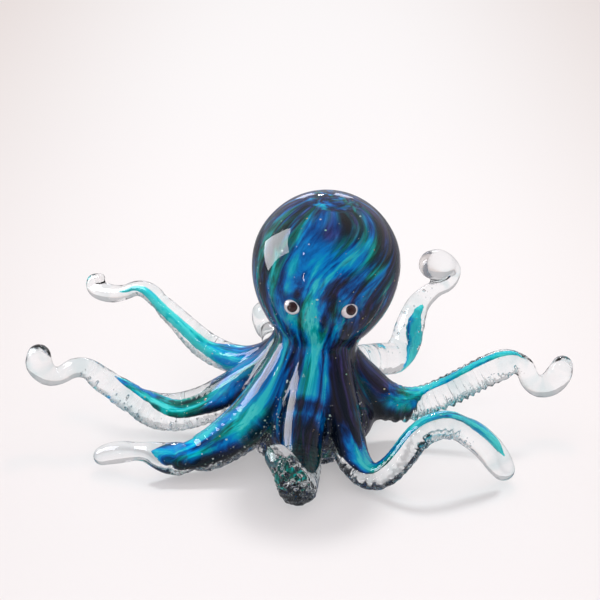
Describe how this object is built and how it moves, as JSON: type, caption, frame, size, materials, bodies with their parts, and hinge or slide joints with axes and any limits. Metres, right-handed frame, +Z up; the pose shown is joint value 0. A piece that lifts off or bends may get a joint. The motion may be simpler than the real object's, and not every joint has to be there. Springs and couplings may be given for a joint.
{
  "type": "octopus figurine",
  "caption": "Solid art glass octopus standing on a ground base: round head on a fluted neck, spread arms with curled clear tips, bead eyes.",
  "frame": {"origin": "middle of the ground flat base, on the plane that the object stands on", "axes": "+Z up, -Y towards the viewer of the face, +X to that viewer's right, along the widest spread of the arms"},
  "size_m": [0.2146, 0.161, 0.1041],
  "materials": {
    "clear_glass": "clear, fire-polished",
    "blue_green_glass": "streaked navy, azure, teal and green colour under clear glass",
    "turquoise_glass": "turquoise and azure ribbons drawn out under clear glass",
    "white_glass": "opaque white bead, fire-polished",
    "dark_brown_glass": "opaque dark brown bead, fire-polished"
  },
  "bodies": {
    "root": {"mantle_core": "clear_glass", "mantle_casing": "clear_glass", "arm_front": "clear_glass", "arm_front_right": "clear_glass", "arm_right": "clear_glass", "arm_back_right": "clear_glass", "arm_back": "clear_glass", "arm_back_left": "clear_glass", "arm_left": "clear_glass", "arm_front_left": "clear_glass", "mantle_colour": "blue_green_glass", "ribbon_front": "turquoise_glass", "ribbon_front_right": "turquoise_glass", "ribbon_right": "turquoise_glass", "ribbon_back_right": "turquoise_glass", "ribbon_back": "turquoise_glass", "ribbon_back_left": "turquoise_glass", "ribbon_left": "turquoise_glass", "ribbon_front_left": "turquoise_glass", "eye_white_left": "white_glass", "eye_white_right": "white_glass", "pupil_left": "dark_brown_glass", "pupil_right": "dark_brown_glass"}
  },
  "joints": []
}
